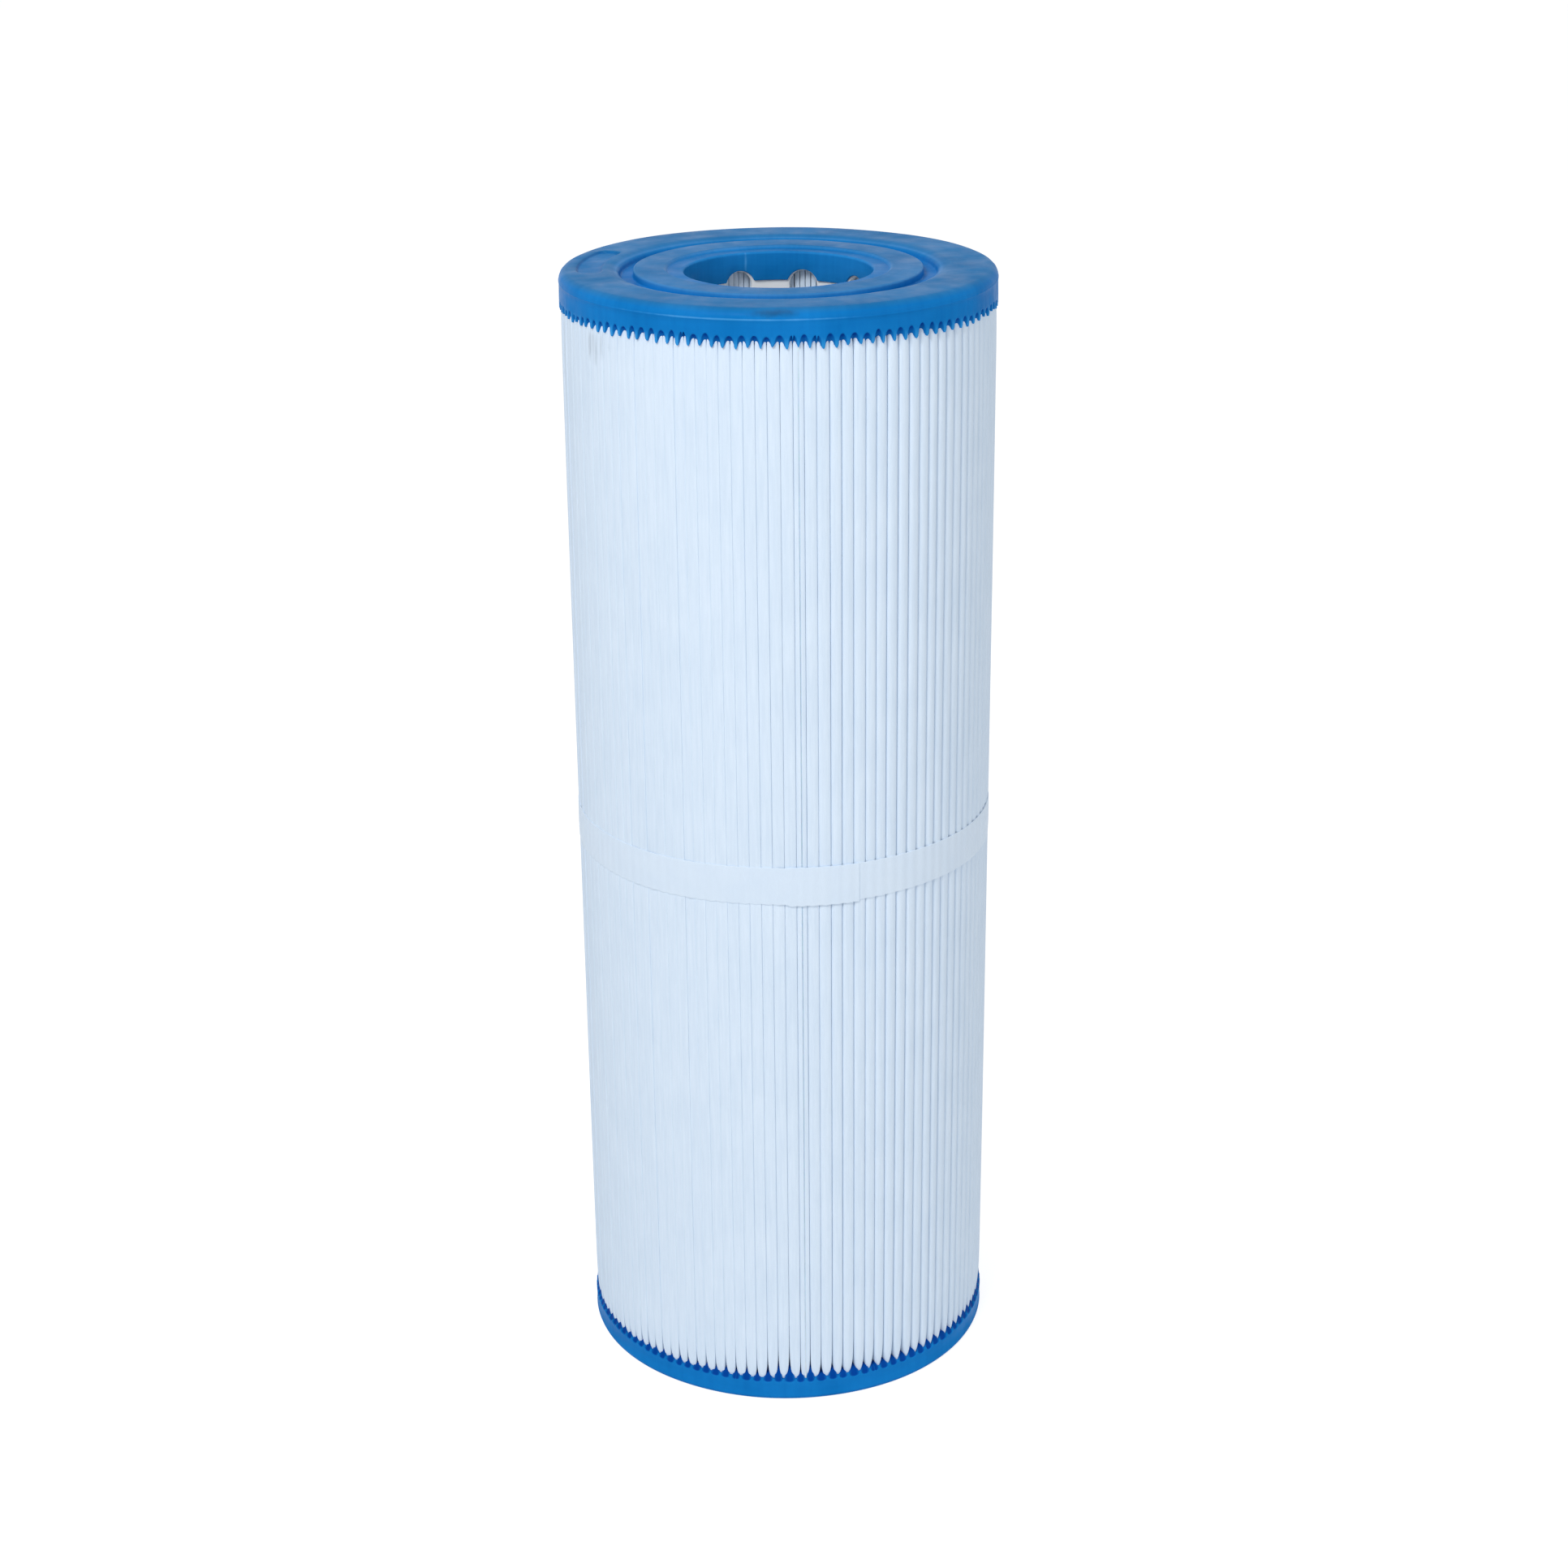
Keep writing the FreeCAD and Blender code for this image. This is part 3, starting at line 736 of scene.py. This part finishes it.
def cap_mesh(face_z, up, edge, crown, tip, curtain, curtain_spread, half_range, arch_power, chance):
    """One end cap as a closed surface, in three bands of rows joined by polygons.

    Depths run from the outer face inwards, and insets from the skirt towards the axis. Rows of the
    first band carry the face's half-section round the axis, and rows of the last band the pot and
    the core's pocket. The band between is the skirt and the resin's free surface under it. An arch
    lies at the depth crown in a valley's middle, and a tongue's tip at the depth tip on a crest.
    With v the distance from the valley's middle and h half the arch's width, the share
    T = 1 - (1 - (v/h)^n)^(1/n), n its arch_power, goes from 0 in the middle to 1 at the tongue, and
    the free surface lies at crown + curtain (1 - exp(-(inset / reach)^2)) (1 - T) + (tip - crown) T.
    The reach is longest in the middle of an arch, which makes it a niche with a hollow back.

    Returns points, faces and a number for each point: up to 1 for painted shade deep in a niche or
    along the recess's edge, below 0 where the resin is thin and where the rims and bore are painted
    lighter.
    """
    half = chance.uniform(*half_range, (2, pleats))
    angle, away, half, valley, after = skirt_columns(face_z, *half)
    tongue = tip - crown
    sideways = smooth_step((np.abs(np.cos(valleys)) - 0.6) / 0.35)     # arches are lower at the sides
    uneven = chance.normal(0, 0.28, pleats).clip(-0.5, 0.7) * tongue / 3.8
    crowns = crown + (uneven + sideways * 0.42 * tongue)
    tips = tip + chance.normal(0, 0.09, pleats + 1).clip(-0.2, 0.12) * tongue
    tips[-1] = tips[0]
    drips = np.where(chance.uniform(size=pleats) < 0.09, chance.uniform(0.3, 0.5, pleats), 0)
    crowns, tips, drips = crowns[valley], tips[valley + after], drips[valley]
    curtains = curtain * chance.uniform(1 - curtain_spread, 1 + curtain_spread, pleats)
    if not up:
        curtains[gaping] *= [2.2, 2.05, 1.6]
    curtains = curtains[valley]
    reach = (0.3 + 0.8 * np.sqrt(1 - np.clip(away / half, 0, 1) ** 2)) * mm
    past_arch = np.clip((0.5 - away) / (0.5 - half), 0, 1)
    dome = (0.28 if up else 0.12) * tongue * (1 - past_arch ** 1.5)    # rounds a tongue's tip

    def arch(inset):
        """T of each column at an inset, with a drip down the middle of a few arches. An arch is
        widest at the skirt's edge and narrows by 0.05 pitches within half a millimetre.
        """
        shrink = 0.03 * (1 - math.exp(-(inset / (0.5 * mm)) ** 2))
        shrink -= 0.02 * math.exp(-(inset / (0.05 * mm)))
        share = np.clip(away / (half - shrink), 0, 1)
        rise = 1 - (1 - share ** arch_power) ** (1 / arch_power)
        return np.maximum(rise, drips * np.exp(-(away / 0.06) ** 2))

    def free_surface(inset):
        """Depth of each column at an inset."""
        rise = arch(inset)
        hang = curtains * (1 - np.exp(-(inset / reach) ** 2))
        lip = 0.1 * mm * math.exp(-inset / (0.04 * mm))
        return crowns + hang * (1 - rise) + (tips - crowns) * rise + dome - lip

    def thin(inset):
        """How thin the resin runs out on a crest: 1 at a tongue's tip."""
        past = (free_surface(inset) - tip + 0.6 * mm) / (1.4 * mm)
        return smooth_step(past) * arch(inset) if up else 0 * angle

    # Down the skirt to its edge, then along the free surface, with insets in millimetres
    fine_radius, fine_depth, fine_shade_and_pale = [], [], []
    skirt_edge = free_surface(0)
    for share in (0, 0.45, 0.8, 1):
        fine_radius.append(cap_outside - 0.08 * mm * (1 - share) + 0 * angle)
        fine_depth.append(skirt_top + (skirt_edge - skirt_top) * share)
        fine_shade_and_pale.append(-thin(0) * smooth_step((share - 0.4) / 0.6))
    for inset in (0.05, 0.12, 0.3, 0.5, 0.75, 1.05, 1.5, 2.2, 9.0):
        fine_radius.append(cap_outside - inset * mm + 0 * angle)
        fine_depth.append(free_surface(inset * mm))
        # Painted shade: deepest in an arch's niche just under its roof, fading lower down; thin resin on
        # the tongues is paler
        shade = np.exp(-np.maximum(fine_depth[-1] - crowns - 0.5 * mm, 0) / (1.1 * mm)) if up else 1
        fine_shade_and_pale.append((1 - arch(inset * mm)) * smooth_step(inset / 0.35) * (0.12 + 0.88 * shade)
                            - thin(inset * mm) * math.exp(-inset / 0.3))
    per = len(fine_phases)
    kept = (np.arange(pleats)[:, None] * per + coarse_columns).ravel()
    turn = angle[kept]

    # The lining inside the core, whose rounded end arches over the core's first holes
    step = 2 * math.pi / holes_per_ring
    off_hole = np.abs((turn - first_hole + step / 2) % step - step / 2) * bore_radius
    opening = hole_radius + hole_clearance
    arch_top = hole_from_end - np.sqrt(np.clip(opening ** 2 - off_hole ** 2, 0, None))
    collar = np.where(off_hole < opening, np.minimum(arch_top, collar_depth), collar_depth)
    collar_rows = [(r * mm + 0 * turn, collar - back * mm) for r, back in (
        (27.75, 0.25), (27.6, 0.05), (27.35, 0.0), (27.1, 0.08), (27.0, 0.25))]

    # The face from the bore outwards, a little wavy where it is flat, with painted highlights on its
    # rims, painted light in the bore and painted shade along the recess's edge
    first_rows = collar_rows[2:]
    face_tint = [0 * turn - painted_bore_light] * len(first_rows)
    wave = 0.06 * mm * (1 + np.sin(3 * turn + 1) * np.sin(5 * turn))
    for r, d in cap_face(edge):
        dip, edge_shade = blank_recess(r, turn) if up else (0, 0 * turn)
        first_rows.append((r + 0 * turn, d + dip + wave * smooth_step((5 * mm - d) / (4 * mm))))
        # Painted highlights on the rims and painted light in the bore, as paler colour
        painted_pale = sum(math.exp(-((r / mm - rim) / 0.4) ** 2) for rim in highlighted_rims)
        painted_pale = painted_bore_light if r < bore_radius + 0.05 * mm else rim_highlight * painted_pale * (d < 2 * mm)
        # Painted shade along the recess's edge darkens it; the rims and bore are painted paler
        face_tint.append(0.35 * edge_shade - painted_pale)

    # The pot's surface between the pleats, in to the core's pocket, and its floor to the lining
    pot_and_pocket = ((50, 6.6), (36, 6.6), (29.9, 6.6), (29.9, 3.4), (27.75, 3.4))
    last_rows = [(r * mm + 0 * turn, d * mm + 0 * turn) for r, d in pot_and_pocket]
    last_rows += collar_rows[:2]

    points, painted_shade_and_pale, starts = [], [], []
    for rows, around, hidden in ((first_rows, turn, face_tint),
                                 (list(zip(fine_radius, fine_depth)), angle, fine_shade_and_pale),
                                 (last_rows, turn, None)):
        starts.append(sum(len(p) for p in points))
        radius, depth = (np.array(v) for v in zip(*rows))
        z = face_z - depth if up else face_z + depth
        band = np.stack([radius * np.cos(around), radius * np.sin(around), z], -1)
        points.append(band.reshape(-1, 3))
        painted_shade_and_pale.append(np.zeros(radius.size) if hidden is None else np.array(hidden).ravel())
    coarse, fine = len(turn), len(angle)
    faces = []
    for start, rows, columns in zip(starts, (first_rows, fine_radius, last_rows), (coarse, fine, coarse)):
        faces += (np.array(grid_faces(len(rows), columns, close_columns=True)) + start).tolist()
    faces += joining_faces(starts[1] - coarse, starts[1], False)
    faces += joining_faces(starts[2], starts[2] - fine, True)
    end = starts[2] + (len(last_rows) - 1) * coarse
    here = np.arange(coarse)
    beyond = (here + 1) % coarse
    faces += np.stack([end + here, end + beyond, beyond, here], 1).tolist()
    return np.concatenate(points), faces, np.concatenate(painted_shade_and_pale)


def cast_polyurethane():
    """Soft blue resin: cloudy, streaked down the skirt, wiped in rings on the face, with painted shade
    deep blue in its niches, paler where it is thin, with painted highlights on the rims, painted light
    in the bore and a painted sheen on the upper face. Three marks lie on the upper cap.
    """
    material, tree, surface = new_material("cast_polyurethane")
    skin = add_node(tree, "ShaderNodeBsdfPrincipled", IOR=1.5)
    skin.inputs["Specular IOR Level"].default_value = 0.02
    cloud = object_noise(tree, 50, detail=5)
    streak = round_noise(tree, 420, (1, 0.3, 0.05), 3)
    rings = round_noise(tree, 650, (0.04, 1, 0.6), 4)
    painted_shade_and_pale = add_node(tree, "ShaderNodeAttribute", {"attribute_name": "painted_shade_and_pale"})
    thin = add_node(tree, "ShaderNodeMath", {"operation": "MULTIPLY"})
    thin.inputs[1].default_value = -1
    link(tree, painted_shade_and_pale.outputs["Fac"], thin.inputs[0])
    layers = [
        ramp(tree, streak, 0.35, 0.65, (0.9, 0.93, 0.96), (1, 1, 1)),
        ramp(tree, rings, 0.3, 0.7, (0.88, 0.93, 0.95), (1, 1, 1)),
        # Painted shade: deep blue in the niches under the arches and along the recess's edge
        ramp(tree, painted_shade_and_pale.outputs["Fac"], 0.0, 0.9, (1, 1, 1), (0.1, 0.29, 0.57)),
        # Paler where the resin is thin, with painted highlights on the face's rims and painted light in
        # the bore
        ramp(tree, thin.outputs[0], 0.0, 1.0, (1, 1, 1), (7.0, 1.7, 1.35))]
    # Marks as place (along the rim, radius, depth), size, the blot's value that has the full tint,
    # and tint: a dark patch on the front edge, a painted highlight along the mould line under it, a
    # scratch in the bore
    marks = (((-1.4, 61.7, 1.4), (8, 2.2, 1.6), 0.9, (1.8, 0.6, 0.55)),
             ((-12, 62.6, 2.9), (45, 2, 0.36), 1.0, (9.0, 1.55, 1.2)),
             ((-174.2, 27.2, 4), (1.4, 2, 3.6), 1.0, (6.0, 1.6, 1.25)))
    for (along, radius, depth), size, full, tint in marks:
        mark = blot(tree, (along * mm, radius * mm, length - depth * mm), [s * mm for s in size])
        layers.append(ramp(tree, mark, 0.0, full, (1, 1, 1), tint))
    # Painted sheen: the top 1.5 mm of the upper cap greyed, standing in for the grazing reflection on its
    # face
    height = add_node(tree, "ShaderNodeSeparateXYZ")
    link(tree, round_axis(tree), height.inputs[0])
    upper_face_sheen = add_node(tree, "ShaderNodeMapRange", From_Min=length - 1.5 * mm, From_Max=length - 0.2 * mm)
    link(tree, height.outputs["Z"], upper_face_sheen.inputs["Value"])
    layers.append(ramp(tree, upper_face_sheen.outputs["Result"], 0.0, 1.0, (1, 1, 1), (3.0, 0.98, 0.84)))
    colour = ramp(tree, cloud, 0.3, 0.7, (0.004, 0.175, 0.51), (0.009, 0.225, 0.62))
    for layer in layers:
        colour = tinted(tree, colour, layer)
    link(tree, colour, skin.inputs["Base Color"])
    link(tree, spread(tree, object_noise(tree, 140, detail=5), 0.28, 0.5), skin.inputs["Roughness"])
    flow = raised(tree, object_noise(tree, 160, detail=3), 0.3 * mm, 0.35)
    wiped = raised(tree, round_noise(tree, 800, (0.05, 1, 0.5), 3), 0.08 * mm, 0.3, flow)
    pebble = raised(tree, object_noise(tree, 1500, detail=2), 0.05 * mm, 0.25, wiped)
    link(tree, pebble, skin.inputs["Normal"])
    link(tree, skin.outputs["BSDF"], surface)
    return material


cap_material = cast_polyurethane()
points, faces, painted_shade_and_pale = cap_mesh(
    cad_high.z, up=True, edge=2.7, crown=7.0 * mm, tip=9.9 * mm, curtain=2.8 * mm, curtain_spread=0.3,
    half_range=(0.31, 0.39), arch_power=2.1, chance=np.random.default_rng(7))
finished_piece("top_cap_casting", points, faces, cap_material, "end_cap", "top_end_cap", painted_shade_and_pale)
points, faces, painted_shade_and_pale = cap_mesh(
    cad_low.z, up=False, edge=0.9, crown=6.1 * mm, tip=7.1 * mm, curtain=2.8 * mm, curtain_spread=0.2,
    half_range=(0.37, 0.44), arch_power=2.2, chance=np.random.default_rng(8))
finished_piece("bottom_cap_casting", points, faces, cap_material, "end_cap", "bottom_end_cap", painted_shade_and_pale)

# ---- Strap ----------------------------------------------------------------------------------------
# Strip of calendered polyester wound once round the middle over a line of hot-melt, to keep the
# pleats evenly spaced. Its end laps over its start at the front.

strap_thickness = 0.28 * mm
strap_sink = 0.16 * mm           # how far it presses into the crests
lap = math.radians(20)
lap_start = math.radians(-90)
strap_rows = 1500


def strap_strip():
    """A strip's rounded section carried along the pleats for one turn and a lap.

    Radius = crest radius - sink + swell cos(2 pi i), i the pleat's number, so it swells over each
    crest. The last stretch climbs one thickness to lie on the first. The edges wander, pull in
    slightly between crests, and the lower one steps down where the lap begins.
    """
    turns = np.linspace(0, 2 * math.pi + lap, strap_rows)
    angle = lap_start + turns
    numbers = np.arange(pleats + 1)
    pleat = np.interp(angle, np.concatenate([crests - 2 * math.pi, crests, crests + 2 * math.pi]),
                      np.concatenate([numbers - pleats, numbers, numbers + pleats]))
    ripple = np.cos(2 * math.pi * pleat)
    climb = strap_thickness * smooth_step((turns - 2 * math.pi + math.radians(4)) / math.radians(4))
    base = crest_radius - strap_sink + 0.05 * mm * ripple + climb
    wander = 0.12 * mm * np.sin(3 * angle) + 0.08 * mm * np.sin(7 * angle + 1)
    lower_step = -0.45 * mm * smooth_step((turns - 2 * math.pi) / math.radians(2))
    section = [(-1, 0.15), (-0.985, 0.02), (-0.95, 0), (0, 0), (0.95, 0), (0.985, 0.02), (1, 0.15),
               (1, 0.85), (0.985, 1), (0.93, 1), (0.5, 1.25), (0, 1.3), (-0.5, 1.25), (-0.93, 1),
               (-0.985, 1), (-1, 0.85)]
    across, out = (np.array(v)[:, None] for v in zip(*section))
    half = strap_half + 0.07 * mm * ripple
    z = strap_middle + wander + lower_step * (across < 0) + across * half
    radius = base + out * strap_thickness
    points = np.stack([radius * np.cos(angle), radius * np.sin(angle), z], -1)
    rows, columns = radius.shape
    faces = grid_faces(rows, columns, close_rows=True)
    for end in (0, columns - 1):
        faces.append([r * columns + end for r in range(rows)])
    return points, faces


def calendered_strip():
    """Smooth pressed polyester, a little glossier than the pleats, faintly clouded and pebbled."""
    material, tree, surface = new_material("calendered_strip")
    skin = add_node(tree, "ShaderNodeBsdfPrincipled", IOR=1.45)
    skin.inputs["Specular IOR Level"].default_value = 0.35
    cloud = object_noise(tree, 120, detail=4)
    colour = ramp(tree, cloud, 0.3, 0.7, (0.685, 0.795, 0.925), (0.71, 0.815, 0.935))
    link(tree, colour, skin.inputs["Base Color"])
    link(tree, spread(tree, object_noise(tree, 500), 0.5, 0.68), skin.inputs["Roughness"])
    pebble = object_noise(tree, 700, detail=4)
    link(tree, raised(tree, pebble, 0.06 * mm, 0.3), skin.inputs["Normal"])
    link(tree, skin.outputs["BSDF"], surface)
    return material


finished_piece("centre_strap_strip", *strap_strip(), calendered_strip(), "strap", "centre_strap")

# ---- Hot-melt -------------------------------------------------------------------------------------
# Milky hot-melt that closes the sheet inside its first pleat, and the bead under the strap. Both
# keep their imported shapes.


def hot_melt():
    """Set hot-melt: milky, slightly glossy, with slow waves from how it was laid."""
    material, tree, surface = new_material("hot_melt")
    skin = add_node(tree, "ShaderNodeBsdfPrincipled", IOR=1.48)
    skin.inputs["Subsurface Weight"].default_value = 0.3
    skin.inputs["Subsurface Scale"].default_value = 1 * mm
    cloud = ramp(tree, object_noise(tree, 200), 0.3, 0.7, (0.64, 0.73, 0.82), (0.72, 0.81, 0.9))
    link(tree, cloud, skin.inputs["Base Color"])
    link(tree, spread(tree, object_noise(tree, 300), 0.25, 0.45), skin.inputs["Roughness"])
    link(tree, raised(tree, object_noise(tree, 150), 0.2 * mm, 0.4), skin.inputs["Normal"])
    link(tree, skin.outputs["BSDF"], surface)
    return material


melt_material = hot_melt()
for name in ("media_seam", "strap_bead"):
    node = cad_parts[name]
    node.data.materials.clear()
    node.data.materials.append(melt_material)
